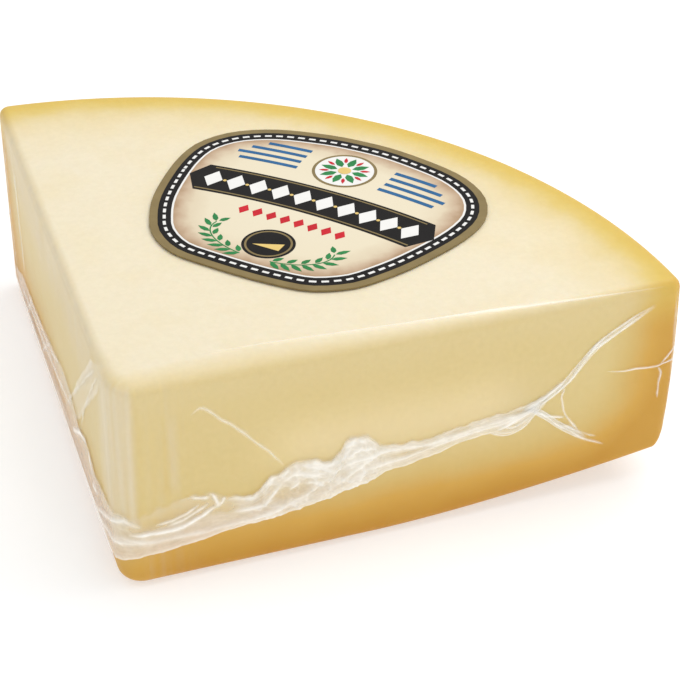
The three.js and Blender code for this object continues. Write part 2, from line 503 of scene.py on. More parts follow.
def cheese_material():
    """Pale paste, golden towards the rind and amber above the underside, under tight clear film."""
    material, tree, shader = new_material("parmesan_paste_and_rind")
    place = object_coordinates(tree)
    cloud = noise_node(tree, place, CLOUD_SIZE)
    speck = noise_node(tree, place, SPECK_SIZE, 4.0, 0.6)
    press = noise_node(tree, object_coordinates(tree, (1.0, 1.0, 1.25)), PRESS_SIZE, 6.0, 0.6)
    paste = paste_colour(tree, cloud)
    sides = rind_colour(tree, place, press)
    colour = mix_colours(tree, attribute(tree, "rind"), paste, sides)
    colour = mix_colours(tree, 1.0, colour, ramp_node(tree, speck, GRAIN_COLOURS), "MULTIPLY")
    pits = math_node(tree, "ADD", speck, math_node(tree, "MULTIPLY", cloud, 3.0))
    cells = {"Vector": place, "Scale": 1.0 / (CLOTH_MESH * MM)}
    cloth = add_node(tree, "ShaderNodeTexVoronoi", cells).outputs["Distance"]
    weave = math_node(tree, "MULTIPLY", math_node(tree, "ADD", press, cloth), attribute(tree, "rind"))
    pits = math_node(tree, "ADD", pits, math_node(tree, "MULTIPLY", weave, 2.0))
    looks = {
        "Base Color": colour,
        "Normal": bump_node(tree, pits, 0.35, 0.08),
        "Roughness": 0.5,
        "Specular IOR Level": 0.2,
        "Subsurface Weight": 0.18,
        "Subsurface Radius": (1.0, 0.7, 0.35),
        "Subsurface Scale": 3.0 * MM,
        "Coat Weight": 0.1,
        "Coat Roughness": 0.16,
    }
    fill_inputs(tree, shader, looks)
    return material


def film_material(name, tint, roughness, grain_size, relief, painted_glow):
    """Clear film, milky where it is folded or stands off, as its haze attribute says. The last argument
    is an even glow, painted light that stands in for the light folded film passes on from layer to layer."""
    material, tree, shader = new_material(name)
    place = object_coordinates(tree)
    fine = noise_node(tree, place, grain_size, 4.0, 0.6)
    breaks = math_node(tree, "ADD", math_node(tree, "MULTIPLY", fine, 0.4), 0.8)
    haze = math_node(tree, "MULTIPLY", attribute(tree, "haze"), breaks, clamp=True)
    lighter = tuple(min(1.0, c * 1.06) for c in tint)
    looks = {
        "Base Color": ramp_node(tree, fine, [(0.3, tint), (0.7, lighter)]),
        "Alpha": haze,
        "Roughness": roughness,
        "Specular IOR Level": 0.6,
        # Painted light: the film glows evenly in its own tint, lit or not.
        "Emission Color": (*tint, 1.0),
        "Emission Strength": painted_glow,
    }
    if relief:
        looks["Normal"] = bump_node(tree, fine, 0.4, relief)
    fill_inputs(tree, shader, looks)
    return material


INK_SHINE = 0.07
INK_ROUGHNESS = 0.42
PAPER_GRAIN = 0.7


def finish_paper(tree, shader, place, colour, roughness=INK_ROUGHNESS):
    """Print with a faint paper grain and a low shine."""
    grain = noise_node(tree, place, PAPER_GRAIN, 2.0)
    looks = {
        "Base Color": colour,
        "Normal": bump_node(tree, grain, 0.15, 0.03),
        "Roughness": roughness,
        "Specular IOR Level": INK_SHINE,
    }
    fill_inputs(tree, shader, looks)


def ink_material(name, colour, variation, roughness=INK_ROUGHNESS):
    """A printing ink with faint mottling."""
    material, tree, shader = new_material(name)
    place = object_coordinates(tree)
    mottle = noise_node(tree, place, 6.0, 5.0, 0.6)
    darker = tuple(c * (1 - variation) for c in colour)
    lighter = tuple(min(1.0, c * (1 + variation)) for c in colour)
    mottled = ramp_node(tree, mottle, [(0.3, darker), (0.7, lighter)])
    finish_paper(tree, shader, place, mottled, roughness)
    return material


# The cream panel's colours from its edge inwards
PANEL_COLOURS = [
    (0.0, (0.46, 0.31, 0.19)),
    (0.05, (0.60, 0.45, 0.31)),
    (0.13, (0.76, 0.65, 0.47)),
    (0.26, (0.83, 0.74, 0.55)),
    (0.8, (0.84, 0.76, 0.58)),
]


def panel_material():
    """Cream print that darkens to a warm brown towards its edge."""
    material, tree, shader = new_material("cream_panel_print")
    place = object_coordinates(tree)
    mottle = noise_node(tree, place, 5.0, 4.0)
    shift = math_node(tree, "MULTIPLY", math_node(tree, "SUBTRACT", mottle, 0.5), 0.12)
    depth = math_node(tree, "ADD", attribute(tree, "edge_depth"), shift, clamp=True)
    finish_paper(tree, shader, place, ramp_node(tree, depth, PANEL_COLOURS))
    return material


# Cheese


def tip_highlight_band(along, height):
    """Share of the pale upright band round the sharp tip, a painted highlight where the film runs over
    the rounded edge.
    """
    return smoothstep(-22, -8, along) * smoothstep(6, 3.5, along) * smoothstep(16, 26, height)


# Stripes of painted reflection in the film round and beside the tip
STRIPE_WIDTH = 1.5
STRIPE_LENGTH = 60.0
STRIPE_SEED = 41
SIDE_ARC_REACH = 16.0
TOP_ARC_REACH = 15.0
CRUST_REACH = 18.0
FAR_CRUST_REACH = 5.0
FILM_SHADOW_ALONG = 13.2
GLOW_HEIGHT = 37.0


def upward_share(depth_from_arc):
    """How much of the top's paler colour shows, with a painted highlight on the band round the tip, and
    the crust's share by the round side.
    """
    sharpness = mix(0.35, 0.85, smoothstep(-14, 0, ALONG))
    upward = np.clip(INSETS / TOP_WIDTH, 0, 1) ** sharpness * (SLOPES > 0.01)
    upward = upward * (1 - RIND_SHARE * smoothstep(1.0, 0.3, SLOPES))
    # The band round the tip takes the top's paler colour in stripes: painted highlight and reflection.
    stripes = 0.75 + 0.5 * noise(ALONG / STRIPE_WIDTH, HEIGHTS / STRIPE_LENGTH, STRIPE_SEED)
    upward = np.maximum(upward, 0.5 * tip_highlight_band(ALONG, HEIGHTS) * np.clip(stripes, 0, 1))
    arc_reach = mix(SIDE_ARC_REACH, TOP_ARC_REACH, upward)
    by_arc = np.exp(-((np.maximum(depth_from_arc, 0) / arc_reach) ** mix(2.0, 1.25, upward)))
    by_arc = by_arc * mix(0.74, 0.66, upward) * mix(1.0, 0.75, smoothstep(50, 64, HEIGHTS) * (1 - upward))
    golden_rim = (1 - RIND_SHARE) * smoothstep(50, 62, HEIGHTS) * (0.1 + 1.1 * by_arc)
    return np.maximum(upward, golden_rim), by_arc


def crust_by_floor():
    """The crust's share above the underside, with less of it at the tip's foot, a painted highlight, and
    one darker streak beside the tip, a painted shadow of a film edge.
    """
    reach = CRUST_REACH + FAR_CRUST_REACH * smoothstep(128, 146, ALONG)
    reach = reach + FAR_CRUST_REACH * smoothstep(-60, -110, ALONG)
    # Less crust at the tip's foot paints a yellow highlight there.
    by_floor = np.exp(-((HEIGHTS / reach) ** 1.7)) * (1 - 0.28 * bell(ALONG, 13.0))
    # Painted shadow of a film edge: a darker streak beside the tip
    streak = smoothstep(27, 31, HEIGHTS) * smoothstep(52, 47, HEIGHTS)
    return by_floor + 0.10 * bell(ALONG - FILM_SHADOW_ALONG, 1.3) * streak


def make_cheese():
    depth_from_arc = WHEEL_RADIUS - np.abs(LEVEL_POINTS)
    upward, by_arc = upward_share(depth_from_arc)
    crust = 1 - (1 - by_arc) * (1 - crust_by_floor())
    crust = np.minimum(crust, mix(1.0, 0.78, smoothstep(125, 148, ALONG)))
    below = smoothstep(-0.5, -1.2, SLOPES)
    round_side = RIND_SHARE * smoothstep(1.25, 0.5, SLOPES) * smoothstep(1.2, 0.2, depth_from_arc)
    rind = np.maximum(round_side, below)
    edge = np.maximum(smoothstep(14, 0, HEIGHTS), smoothstep(58, 66, HEIGHTS)) * 0.7
    glow = bell(HEIGHTS - GLOW_HEIGHT, 9) * smoothstep(30, 52, ALONG) * smoothstep(116, 98, ALONG)
    values = {"crust": crust, "upward": upward, "rind": rind, "edge": edge, "glow": 0.9 * glow}
    piece = wedge_mesh("cheese", CHEESE_OUT, cheese_material(), values)
    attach(piece, "root")
    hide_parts("sealed_wedge")


# Film


def finish_film_piece(piece):
    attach(piece, "root")
    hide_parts("sealed_wedge")
    piece.visible_shadow = False  # film passes light on, so it throws no shadow


# The gather's grid: where it starts, gets finer and ends along the cuts, and its steps
GATHER_START = -155.0
GATHER_FINE = -14.0
GATHER_END = 118.0
LEFT_STEPS = 170
FRONT_STEPS = 500
GATHER_ROWS = 48
# Its edges before they are crumpled: distance along and height
LOWER_EDGE = [
    (-156, 2), (-60, 2.5), (-28, 4), (-17, 5.5), (-11.8, 6.3), (-4, 8.2), (0, 9.4), (4, 10.6),
    (12.2, 11.5), (18.9, 12.1), (26.6, 13.5), (33.9, 14.6), (41.3, 15.2), (47.7, 16), (54.1, 17.2),
    (62.4, 19.4), (67.3, 20), (71.5, 22), (75, 22.8), (80, 23.2), (86.3, 24.5), (93.4, 26.4),
    (99.1, 27.2), (102.4, 27.0), (105, 26.2), (108, 25.7), (111, 26.6), (114, 29.2), (118, 33.4),
]
UPPER_EDGE = [
    (-156, 9), (-150, 11), (-132, 18), (-114, 18.5), (-100, 20.5), (-83, 23.5), (-68, 26.5), (-58, 25),
    (-48.6, 20), (-39, 23), (-34, 21.5), (-28, 19), (-20.8, 21), (-13, 22), (-5, 24.5), (-0.8, 24.8),
    (3.4, 24.1), (7.4, 25.2), (13.8, 27.4), (20, 28.4), (24, 28.5), (29.8, 25.6), (33.2, 24.6),
    (35.6, 24.2), (38, 27), (40.5, 28.8), (43.9, 30.4), (45.8, 32.2), (49.2, 32.8), (53.6, 31.6),
    (57, 30.4), (59.5, 32.6), (60.9, 36.2), (63.6, 37.2), (67.1, 36.6), (69.2, 34), (70.5, 31.9),
    (77.6, 30.8), (83.3, 30.4), (88.9, 31.4), (96, 32.6), (102.4, 33.2), (108.1, 33.8), (113.2, 34.8),
    (118, 36.4),
]
# Creases inside the gather: points, half width, height and milkiness.
GATHER_CREASES = [
    ([(2, 18.2), (7.8, 18.4), (11.1, 18), (14.4, 18), (17.2, 18.6), (19.7, 19.7), (22.1, 20.8),
      (24.5, 22.3), (26.4, 23)], 0.7, 0.9, 0.9),
    ([(0.2, 24.4), (3.4, 24.1), (5.7, 24.6), (7.4, 25.2), (10.5, 26.9), (13.8, 27.2), (16.6, 27),
      (22.4, 28)], 0.5, 0.5, 0.6),
    ([(19.7, 27), (21.8, 26.5), (23.8, 26)], 0.5, 0.6, 0.8),
    ([(24.2, 27.4), (25.1, 26.8), (26, 24.5), (26.4, 23)], 0.5, 0.6, 0.8),
    ([(28.9, 25.9), (27.9, 24.6), (26.9, 23.1)], 0.5, 0.5, 0.7),
    ([(10, 20.6), (14, 21), (18, 22.4), (21, 24.2)], 0.5, 0.4, 0.6),
    ([(13, 19.6), (17, 20.6), (20.5, 22.3), (23.5, 24)], 0.6, 0.4, 0.55),
    ([(34, 15.9), (42, 17.3), (50, 20.6), (56, 24.5)], 0.7, 0.5, 0.4),
    ([(43.5, 26.4), (47, 28), (50.5, 27.3), (54, 25.8)], 0.8, 0.6, 0.6),
    ([(52.5, 30.5), (56, 28.6), (59.5, 29.5), (62.5, 33.5)], 0.8, 0.7, 0.6),
    ([(60, 27), (64, 28.4), (68, 28.6), (73, 29.6)], 0.8, 0.6, 0.6),
    ([(29.8, 24.4), (33.2, 23.6), (35.6, 23.2), (36.5, 24.2), (38, 26.1), (40.5, 27.9), (43.9, 29.4),
      (45.8, 31.8), (49.2, 32.1), (53.6, 30.9), (57, 29)], 1.0, 1.0, 0.7),
    ([(31.2, 19.7), (34, 19.7), (37, 19.9), (38.9, 20.4), (40.1, 22), (41.4, 23.5),
      (42.9, 25.5)], 0.7, 0.8, 0.7),
    ([(-6, 15), (-0.8, 16.6), (3, 16.5), (9, 15.4), (14.7, 15.3), (19, 15.4), (22.9, 15.2),
      (29.6, 15.8), (36.4, 16.2), (43.8, 17.9), (49.2, 19), (51.6, 19.8)], 0.9, 0.6, 0.4),
    ([(50.2, 24.5), (52.6, 24.2), (55.1, 22.3)], 0.6, 0.6, 0.6),
    ([(45.8, 23.5), (46.7, 24.5), (48, 25.4)], 0.5, 0.5, 0.6),
    ([(41.4, 28.8), (43.9, 28.8), (45.3, 30.2)], 0.6, 0.5, 0.5),
    ([(48.7, 31.1), (51.1, 29.3), (54.1, 28.8), (58, 26)], 0.7, 0.7, 0.5),
    ([(60.5, 33), (64, 35.5), (66.5, 33.5)], 0.7, 0.9, 0.8),
    ([(62, 30.5), (65, 32), (69, 31)], 0.6, 0.7, 0.7),
    ([(57, 21), (62, 24), (70.6, 29.5), (84.7, 28.4), (96.1, 30.1), (106.1, 31),
      (113.3, 31.8)], 0.8, 0.7, 0.5),
    ([(62, 22), (67.3, 24.7), (77.8, 25.8), (88.3, 27.8), (99, 29.4), (106.2, 29.9),
      (114, 31.6)], 0.8, 0.7, 0.5),
    ([(103.4, 27.6), (106.3, 28.5), (109.8, 30.1), (112.6, 31.5)], 0.6, 0.6, 0.7),
    ([(-27.2, 7.8), (-14.8, 14.8), (-5.7, 20.2), (0, 22.5), (5, 21)], 0.8, 0.6, 0.6),
    ([(-30.8, 5), (-22, 7.5), (-10.2, 12.5), (0, 15.2), (6, 15.8)], 0.8, 0.6, 0.5),
    ([(-58.5, 11.2), (-47.5, 18), (-39.3, 21.6), (-36, 21.4), (-34.7, 19.1), (-32.6, 17),
      (-30.5, 14.9)], 0.9, 0.9, 0.9),
    ([(-31.4, 12), (-28, 13.5), (-25.3, 14.5)], 0.9, 0.9, 0.9),
    ([(-62, 9), (-80, 7.5), (-104, 6.5), (-130, 6), (-150, 5)], 0.7, 0.5, 0.32),
    ([(-60, 19), (-76, 16), (-95, 13.5), (-118, 12.5), (-140, 10)], 0.8, 0.6, 0.38),
    ([(-70, 25), (-84, 19.5), (-100, 17), (-122, 15.8)], 0.7, 0.5, 0.34),
    ([(-88, 21), (-97, 14), (-104, 8)], 0.6, 0.5, 0.32),
    ([(-118, 17.5), (-124, 11), (-131, 5.5)], 0.6, 0.5, 0.3),
]
# Clear patches in the gather: centre, half length, half height.
GATHER_WINDOWS = [
    ((45.5, 22.6), 7.0, 2.3), ((15.5, 22.8), 8.0, 2.6), ((8.0, 22.0), 3.5, 1.6), ((82.0, 27.0), 9.0, 1.0),
    ((97.0, 30.3), 7.0, 0.8), ((110.0, 32.4), 4.0, 0.7), ((107.5, 27.6), 5.0, 1.2),
    ((-78.0, 12.5), 12.0, 2.0), ((-112.0, 9.5), 12.0, 1.6),
]


def edge_line(points, along):
    along_points, heights = np.array(points, float).T
    return np.interp(along, along_points, heights)


def complex_line(points):
    return np.array([complex(a, h) for a, h in points])


def gather_edges(along):
    """Heights of the gather's crisp lower edge and its ragged upper edge."""
    low = edge_line(LOWER_EDGE, along)
    low = low + 0.35 * noise(along / 5.0, 0 * along, 3) + 0.15 * noise(along / 1.7, 0 * along, 4)
    crumpled = smoothstep(-14, 4, along) * (1 - 0.55 * smoothstep(66, 74, along))
    high = edge_line(UPPER_EDGE, along)
    high = high + (0.5 + 0.6 * crumpled) * noise(along / 3.0, 0 * along, 5)
    return low, high


def gather_face(along, height, t):
    """How far the crumpled film stands out and how milky it is. t runs from lower to upper edge."""
    lengthwise = along / mix(9.0, 18.0, smoothstep(64, 78, along))
    across = t * 3.2 + 0.6 * noise(along / 14.0, 2.0 * t, 8)
    folds = creased_noise(lengthwise, across, 11)
    wrinkles = creased_noise(along / 4.4 + 0.5 * height / 3.6, height / 3.8, 31, 2)
    puffed = smoothstep(28, 42, along) * smoothstep(74, 64, along)
    out = 0.22 + 0.3 * folds**2 + puffed * (0.5 * folds**2 + 0.6 * wrinkles**2)
    streaks = creased_noise(along / 26.0, t * 9.0 + 0.8 * noise(along / 18.0, 2.0 * t, 9), 51, 2)
    threads = creased_noise(along / 40.0, t * 9.0 + 1.0 * noise(along / 24.0, 2.0 * t, 10), 61, 1)
    body = mix(0.50, 0.62, smoothstep(24, 54, along)) * mix(1.0, 1.12, bell(along - 64, 9))
    narrow = smoothstep(66, 78, along)
    leftward = smoothstep(-24, -50, along)
    fine_folds = (0.16 + 0.34 * leftward) * streaks**5 + mix(0.10, 0.22, narrow) * threads**9
    haze = body * (0.78 - 0.16 * leftward + (0.18 + 0.12 * leftward) * folds**3 + fine_folds)
    haze = haze * (1 + puffed * (0.5 * wrinkles**3 - 0.05)) * mix(1.0, 0.86, narrow)
    left_top = smoothstep(-2, 4, along) * (1 - smoothstep(28, 34, along))
    wisp = left_top * smoothstep(0.40, 0.60, t)
    haze = haze * (1 - 0.50 * wisp)
    for centre, length, rise in GATHER_WINDOWS:
        reach = ((along - centre[0]) / length) ** 2 + ((height - centre[1]) / rise) ** 2
        haze = haze * (1 - 0.45 * np.exp(-(reach**1.5)))
    return out * (1 - 0.4 * wisp), haze


def add_creases(place, out, haze):
    """Presses the single creases into the gather."""
    for points, width, rise, milk in GATHER_CREASES:
        gap, share = distance_to_line(place, complex_line(points))
        taper = np.clip(4.0 * np.minimum(share, 1 - share) + 0.35, 0, 1)
        strength = np.exp(-((gap / (0.8 * width)) ** 1.5)) * taper
        out = out + 0.5 * rise * strength
        haze = 1 - (1 - haze) * (1 - min(1.0, 1.15 * milk) * strength)
    return out, haze


def make_gather():
    """The pleat that runs low across both cuts."""
    left = np.linspace(GATHER_START, GATHER_FINE, LEFT_STEPS, endpoint=False)
    front = np.linspace(GATHER_FINE, GATHER_END, FRONT_STEPS)
    along = np.concatenate([left, front])[None, :]
    t = np.linspace(0.0, 1.0, GATHER_ROWS)[:, None]
    low, high = gather_edges(along)
    height = mix(low, high, t)
    out, haze = gather_face(along, height, t)
    out, haze = add_creases(along + 1j * height, out, haze)
    feather = smoothstep(1.0, 0.86, t)
    out = out * mix(0.12, 1.0, smoothstep(1.0, 0.72, t)) * mix(0.75, 1.0, smoothstep(0.0, 0.06, t))
    out = out * mix(0.4, 1.0, smoothstep(-40, -20, along))
    rim = bell(t, 0.05)
    haze = np.clip(haze * feather, 0, 1)
    haze = 1 - (1 - haze) * (1 - 0.35 * rim)
    ends = smoothstep(-156, -140, along) * smoothstep(118.2, 115, along)
    haze = haze * mix(0.15, 1.0, ends)
    out = out * mix(0.2, 1.0, ends) + 0.08
    points = on_side(along + 0 * t, height, out)
    # The gathered film glows a little: painted light.
    material = film_material("gathered_film", (0.94, 0.92, 0.86), 0.2, 3.2, 0.0, 0.10)
    piece = make_mesh("film_gather", points, grid_faces(*height.shape), material, {"haze": haze})
    finish_film_piece(piece)


# Threads: single creases outside the gather. Points, half width, height, milkiness; the milkiness is
# partly the crease's own whiteness and partly painted highlight.
FILM_THREADS = [
    ([(111, 32), (113.2, 32.9), (116.8, 34.8), (120.2, 37.3), (123.4, 40)], 1.3, 0.9, 0.8),
    ([(101, 27.8), (104, 26.0), (107.5, 25.0), (111.5, 26.4), (115, 30), (118, 33)], 0.6, 0.6, 0.7),
    ([(105, 28.4), (108.5, 27.2), (112, 28.4), (115, 31)], 0.6, 0.6, 0.7),
    ([(106, 31.4), (109, 30.4), (112, 31.2), (116, 33.6)], 0.7, 0.6, 0.7),
    ([(110, 31), (114.8, 32), (118.5, 34.2), (122.4, 37.5), (124.4, 39.1), (127, 43), (130.2, 47.6),
      (134.3, 50.7), (138.5, 53), (141.9, 55.5), (147.3, 58.9)], 0.8, 0.8, 0.7),
    ([(125, 41.5), (127, 43.8), (130.8, 49.1), (134.9, 52.6), (138.3, 54.6),
      (144, 57.4)], 0.6, 0.6, 0.6),
    ([(121.5, 38), (122.8, 36.6), (122.3, 33.8), (123, 30.3), (124, 26.7), (126.6, 22.7),
      (128.3, 19.7)], 0.6, 0.6, 0.6),
    ([(113, 31.5), (115.6, 30), (119.5, 27.8), (124, 26.3)], 0.8, 0.7, 0.7),
    ([(113, 32), (117.2, 29.2), (121.2, 24.8), (126, 20.2), (130.9, 15.6),
      (136.6, 11.5)], 0.8, 0.8, 0.7),
    ([(122, 24), (125.9, 21.6), (129.9, 18.4), (134, 15.7)], 0.9, 0.5, 0.5),
    ([(135, 39.6), (139.6, 38.3), (144.5, 38), (149.9, 37.3), (152.1, 37.8), (155, 38.2), (160, 38.6),
      (168, 38), (176, 39)], 0.6, 0.7, 0.8),
    ([(150.2, 37.4), (151.5, 34.5), (151.3, 29.6), (151.5, 24.4)], 0.6, 0.6, 0.6),
    ([(151, 37.8), (153, 40), (155.5, 43.5), (157.5, 47)], 0.5, 0.5, 0.6),
    ([(20, 53), (22.7, 54.7), (25, 53.3), (27.7, 50.2), (30.4, 47.9), (34.1, 43.9), (37.8, 39.6),
      (41.5, 35.2), (44.4, 31)], 0.9, 0.5, 0.46),
    ([(-12, 63), (-16.9, 59.6), (-27.4, 51), (-38.8, 40.4), (-52.8, 27.8), (-63.8, 17.2),
      (-70, 10)], 1.0, 0.5, 0.36),
    ([(-11, 61.5), (-14.5, 58.8), (-21.9, 51.3), (-29.8, 42.4), (-36.7, 33.5), (-42.1, 26),
      (-46, 20)], 0.9, 0.5, 0.3),
    ([(-129.8, 58), (-129.5, 45), (-129.3, 35.4), (-128.4, 29.9), (-128.4, 20)], 1.1, 0.5, 0.5),
    ([(-146, 60), (-147, 40), (-146, 20), (-143, 9)], 0.9, 0.5, 0.4),
    # The two lines on the front's top edge: painted highlight where the film is drawn tight over the
    # edge.
    ([(24, 65.3), (50, 65.3), (77, 65.2), (94, 65.1), (111, 64.8), (128, 64.4),
      (151, 63.7)], 0.35, 0.3, 0.40),
    ([(82, 65.2), (94, 65.1), (111, 64.8), (128, 64.4), (140, 64.0)], 0.3, 0.3, 0.22),
    ([(153.6, 63), (154.4, 50), (155, 38), (155.4, 22), (154.5, 12)], 0.8, 0.35, 0.3),
    ([(158, 20), (172, 24), (190, 31), (206, 34), (221, 33)], 1.1, 0.6, 0.36),
    ([(160, 58), (175, 52), (192, 43), (207, 37), (221, 34)], 0.9, 0.6, 0.34),
    ([(176, 39), (190, 37.5), (205, 36), (222, 34)], 0.9, 0.6, 0.4),
    ([(206, 36), (211, 44), (214, 53), (215, 61)], 0.8, 0.5, 0.32),
    ([(207, 33), (213, 24), (217, 14), (219, 6)], 0.9, 0.5, 0.32),
    ([(232, 34), (246, 40), (262, 43), (276, 51)], 0.9, 0.5, 0.34),
    ([(232, 32), (249, 27), (268, 24)], 1.0, 0.5, 0.34),
    ([(-274, 18), (-258, 25), (-242, 29)], 0.9, 0.5, 0.32),
    ([(-262, 60), (-250, 46), (-236, 38), (-222, 33)], 1.1, 0.6, 0.36),
    ([(-236, 38), (-218, 41), (-200, 48), (-184, 58)], 0.9, 0.5, 0.32),
    ([(-222, 33), (-204, 26), (-186, 14), (-174, 6)], 1.1, 0.6, 0.4),
    ([(-150, 58), (-160, 54), (-172, 52), (-184, 54)], 0.8, 0.5, 0.32),
    ([(-150, 24), (-159, 27), (-170, 28), (-186, 26)], 0.9, 0.6, 0.38),
]
# Across a thread: sideways place, height and brightness; the brightness is a milkiness that partly paints
# the crease's highlight
THREAD_PROFILE = [
    (-1.0, 0.0, 0.0), (-0.55, 0.12, 0.25), (-0.2, 0.7, 0.85), (0.0, 1.0, 1.0), (0.2, 0.7, 0.85),
    (0.55, 0.12, 0.25), (1.0, 0.0, 0.0),
]
# Wide flat folds: brighter along both borders, see-through between them.
FILM_RIBBONS = [
    ([(112, 31.8), (117, 34.2), (122.4, 38.2), (127, 43.8), (131, 48.6), (136, 52.2), (142, 55.9),
      (148, 59)], 1.15, 0.5, 0.55),
    ([(-10, 63), (-17, 58), (-27, 48.5), (-39, 37), (-49, 26.5), (-55, 20)], 4.6, 0.3, 0.42),
    ([(113, 32.5), (117.4, 29.0), (121.4, 24.8), (126, 20.4), (130.9, 16)], 1.1, 0.4, 0.6),
    ([(226, 2), (226.5, 20), (226, 34), (226.8, 48), (226, 63.5)], 3.2, 0.5, 0.42),
]
RIBBON_PROFILE = [
    (-1.0, 0.0, 0.0), (-0.9, 0.7, 0.7), (-0.75, 0.8, 1.0), (-0.5, 0.3, 0.65), (0.0, 0.15, 0.56),
    (0.5, 0.3, 0.65), (0.75, 0.8, 1.0), (0.9, 0.7, 0.7), (1.0, 0.0, 0.0),
]
THREAD_SPACING = 0.6


def smooth_line(points, spacing):
    """Catmull-Rom curve through the points, sampled evenly."""
    knots = complex_line(points)
    knots = np.concatenate([[2 * knots[0] - knots[1]], knots, [2 * knots[-1] - knots[-2]]])
    pieces = []
    for a, b, c, d in zip(knots, knots[1:], knots[2:], knots[3:]):
        t = np.linspace(0, 1, 12, endpoint=False)
        square = 2 * a - 5 * b + 4 * c - d
        cube = 3 * b - a - 3 * c + d
        pieces.append(0.5 * (2 * b + (c - a) * t + square * t**2 + cube * t**3))
    fine = np.concatenate([*pieces, [knots[-2]]])
    walked = np.concatenate([[0], np.cumsum(np.abs(np.diff(fine)))])
    even = np.linspace(0, walked[-1], max(6, int(walked[-1] / spacing)))
    return np.interp(even, walked, fine.real) + 1j * np.interp(even, walked, fine.imag)


def make_threads():
    """Tent-shaped creases that lie on the skin of film, joined in one piece."""
    points, faces, haze = [], [], []
    drawn = [(*thread, THREAD_PROFILE) for thread in FILM_THREADS]
    drawn += [(*ribbon, RIBBON_PROFILE) for ribbon in FILM_RIBBONS]
    for number, (line, width, rise, milk, profile) in enumerate(drawn):
        path = smooth_line(line, THREAD_SPACING)
        side = np.gradient(path)
        side = 1j * side / np.abs(side)
        count = len(path)
        share = np.linspace(0, 1, count)
        # The creases on the top edge are painted highlight lines; they run straight, as the wide folds
        # do.
        straight = width > 1 or line[0][1] > CHUNK_HEIGHT  # wide folds and creases on the top edge
        calm = 0.2 if straight else 1.0
        wobble = 0.25 * calm * noise(share * count * 0.12, 0 * share + number, 17)
        path = path + side * wobble
        swell = np.clip(1 + 0.5 * calm * noise(share * count * 0.09, 0 * share + number, 23), 0.45, 1.5)
        taper = np.minimum(1, 6 * np.minimum(share, 1 - share)) ** 0.7
        rows = []
        for sideways, lift, bright in profile:
            place = path + side * sideways * width * swell * mix(0.4, 1.0, taper)
            rows.append(on_side(place.real, place.imag, 0.05 + 0.4 * lift * rise * swell * taper))
            haze.append(bright * milk * taper * np.clip(swell, 0.6, 1.2))
        start = sum(len(p) for p in points)
        faces += shifted(grid_faces(len(rows), count), start)
        points.append(np.array(rows).reshape(-1, 3))
    # The creased film glows a little: painted light that whitens the creases.
    material = film_material("creased_film", (0.95, 0.94, 0.90), 0.22, 1.2, 0.02, 0.14)
    all_haze = 0.85 * np.clip(np.concatenate(haze), 0, 1)
    piece = make_mesh("film_threads", np.concatenate(points), faces, material, {"haze": all_haze})
    finish_film_piece(piece)


CLEAREST_VEIL = 0.24


def skin_haze():
    """How milky the tight film is: streaks beside the tip, which are painted highlight and reflection,
    and veils on the left cut and in front.
    """
    along = np.broadcast_to(ALONG, HEIGHTS.shape)
    height = HEIGHTS + lift_at(LEVEL_POINTS, HEIGHTS)
    side = smoothstep(1.2, 0.6, np.abs(SLOPES))
    on_left = smoothstep(-2, -9, along) * (1 - RIND_SHARE)
    in_front = bell(height - 36, 8) * smoothstep(34, 58, along) * smoothstep(120, 104, along)
    haze = 0.01 + side * 0.08 * in_front
    stripes = 0.5 + 0.5 * noise(along / STRIPE_WIDTH, height / STRIPE_LENGTH, STRIPE_SEED)
    # Milky band round the tip, stripes beside it and a lighter line at 15 mm: painted highlight and
    # reflection of the film.
    haze = haze + side * tip_highlight_band(along, height) * (0.15 + 0.09 * stripes)
    beside = smoothstep(4, 7, along) * smoothstep(24, 14, along)
    haze = haze + side * beside * 0.14 * np.clip(stripes - 0.35, 0, 1)
    streak = bell(along - 15.2, 0.9) * smoothstep(28, 34, height) * smoothstep(58, 48, height)
    haze = haze + side * 0.14 * streak
    drift = 1 + 0.35 * noise(along / 9.0, height / 30.0, 43)
    drift = drift + 0.25 * noise(along / 3.0, height / 40.0, 44)
    veil = on_left * smoothstep(-16, -26, along) * mix(0.03, 0.20, smoothstep(40, 57, height)) * drift
    haze = haze + side * veil * mix(0.3, 1.0, smoothstep(-150, -134, along))
    return np.clip(haze, 0, CLEAREST_VEIL)


def make_skin():
    material = film_material("tight_film", (0.94, 0.91, 0.86), 0.2, 3.0, 0.0, 0.0)
    piece = wedge_mesh("film_skin", SKIN_OUT, material, {"haze": skin_haze()})
    finish_film_piece(piece)


# Sticker

LABEL_TURN = math.radians(1.0)
LABEL_SHIFT = 1.8
PAPER_FOOT = 65.02
PRINT_STEP = 0.03
PAPER_TOP = 65.5
GOLD_BORDER = 2.3
BLACK_RING = 3.7
WHITE_LINE = 0.6
# Where the photo's outline is a little fuller or flatter than the CAD's: direction and width in degrees,
# and how far
OUTLINE_PUSHES = [(-150, 27, 1.9), (40, 27, 1.4), (-57, 14, -0.6), (93, 10, -0.4)]


def label_to_plan(place):
    """From the sticker's own plan, v away from the tip along its middle line, to the wedge's plan."""
    return place * cmath.exp(1j * (MIDDLE - math.pi / 2 - LABEL_TURN))


def label_ring():
    """The sticker's outline in its own plan, counterclockwise, taken from the CAD's node."""
    corners = np.array([v.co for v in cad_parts["label"].data.vertices]) / MM
    flat = corners[corners[:, 2] < corners[:, 2].mean()]
    plan = flat[:, 0] + 1j * flat[:, 1] - TIP_PLACE
    local = np.unique(np.round(plan / label_to_plan(1.0), 4))
    centre = local.mean()
    ring = local[np.argsort(np.angle(local - centre))]
    turn = np.degrees(np.angle(ring - centre))
    push = 0.0
    for at, width, amount in OUTLINE_PUSHES:
        push = push + amount * bell((turn - at + 180) % 360 - 180, width)
    return ring + push * np.exp(1j * np.radians(turn))


